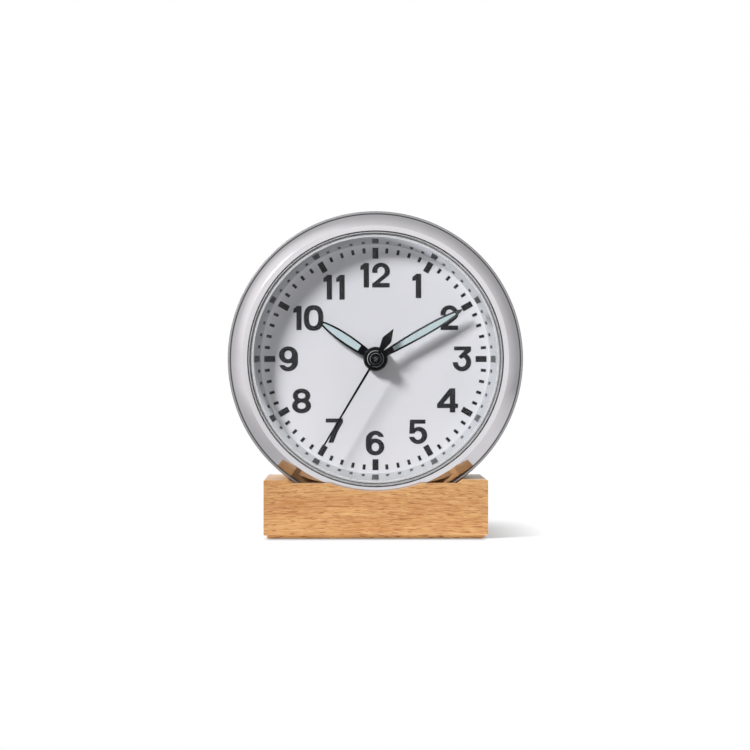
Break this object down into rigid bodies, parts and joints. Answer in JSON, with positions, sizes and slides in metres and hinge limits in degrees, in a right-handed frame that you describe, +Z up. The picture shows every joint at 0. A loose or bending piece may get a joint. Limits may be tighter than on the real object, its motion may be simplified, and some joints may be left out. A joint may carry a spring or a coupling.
{
  "type": "desk clock",
  "caption": "Round battery desk clock in a steel case with a domed glass, seated in a cradle cut in an oak block; the hands, train and battery door move.",
  "frame": {"origin": "bottom centre of the base, on the surface it stands on", "axes": "+Z up, the dial faces -Y, +X to the right of someone who reads the dial"},
  "size_m": [0.1524, 0.0572, 0.1678],
  "materials": {
    "oak": "oiled oak, fine horizontal grain",
    "steel": "satin, fine turned finish",
    "polished_steel": "polished",
    "glass": "clear mineral glass",
    "gasket": "matt",
    "dial": "fine matt lacquer",
    "ink": "printed, matt",
    "hand_black": "satin black lacquer",
    "lume": "pale luminous filling",
    "carrier": "moulded",
    "cover": "fine spark-eroded texture",
    "movement": "moulded",
    "wheel": "moulded, self-lubricating",
    "brass": "plain",
    "cell": "plain sleeve with a metal end",
    "board": "solder mask",
    "copper": "enamelled wire",
    "iron": "stamped",
    "screw": "bright zinc"
  },
  "bodies": {
    "case": {"base_block": "oak", "base_plinth": "oak", "plinth_screws": "screw", "cradle_screws": "screw", "case_anchor": "iron", "case_drum": "steel", "bezel_ring": "polished_steel", "crystal": "glass", "crystal_gasket": "gasket", "dial_ring": "polished_steel", "dial_plate": "dial", "dial_markers": "ink", "movement_ring": "carrier", "back_cover": "cover", "cover_screws": "screw", "battery": "cell", "contact_plus": "brass", "contact_minus": "brass", "movement_front": "movement", "middle_plate": "movement", "movement_back": "movement", "circuit_board": "board", "quartz_can": "screw", "coil": "copper", "stator": "iron"},
    "door": {"battery_door": "cover"},
    "minute_set": {"centre_wheel": "brass", "minute_hand": "hand_black", "minute_lume": "lume"},
    "hour_set": {"hour_wheel": "wheel", "hour_hand": "hand_black", "hour_lume": "lume"},
    "seconds_set": {"seconds_wheel": "wheel", "second_hand": "hand_black"},
    "setting_set": {"minute_wheel": "wheel", "setting_knob": "cover"},
    "third_set": {"third_wheel": "wheel"},
    "intermediate_set": {"intermediate_wheel": "wheel"},
    "rotor_set": {"rotor": "iron"}
  },
  "joints": [
    {"name": "minute_turn", "type": "hinge", "parent": "case", "child": "minute_set", "pos_m": [0, 0, 0.0916], "axis": [0, 1, 0], "continuous": true},
    {"name": "hour_turn", "type": "hinge", "parent": "case", "child": "hour_set", "pos_m": [0, 0, 0.0916], "axis": [0, 1, 0], "continuous": true},
    {"name": "second_turn", "type": "hinge", "parent": "case", "child": "seconds_set", "pos_m": [0, 0, 0.0916], "axis": [0, 1, 0], "continuous": true},
    {"name": "setting_turn", "type": "hinge", "parent": "case", "child": "setting_set", "pos_m": [0.00552, 0, 0.09623], "axis": [0, 1, 0], "continuous": true},
    {"name": "third_turn", "type": "hinge", "parent": "case", "child": "third_set", "pos_m": [-0.0068, 0, 0.0916], "axis": [0, 1, 0], "continuous": true},
    {"name": "intermediate_turn", "type": "hinge", "parent": "case", "child": "intermediate_set", "pos_m": [-0.00239, 0, 0.09818], "axis": [0, 1, 0], "continuous": true},
    {"name": "rotor_turn", "type": "hinge", "parent": "case", "child": "rotor_set", "pos_m": [-0.00352, 0, 0.10456], "axis": [0, 1, 0], "continuous": true},
    {"name": "door_slide", "type": "slide", "parent": "case", "child": "door", "axis": [0, 0, -1], "range_m": [0, 0.022]}
  ],
  "couplings": [
    {"joint": "hour_turn", "follows": "minute_turn", "ratio": 0.083333},
    {"joint": "second_turn", "follows": "minute_turn", "ratio": 60},
    {"joint": "setting_turn", "follows": "minute_turn", "ratio": -0.33333},
    {"joint": "third_turn", "follows": "minute_turn", "ratio": -8},
    {"joint": "intermediate_turn", "follows": "minute_turn", "ratio": -360},
    {"joint": "rotor_turn", "follows": "minute_turn", "ratio": 1800}
  ]
}
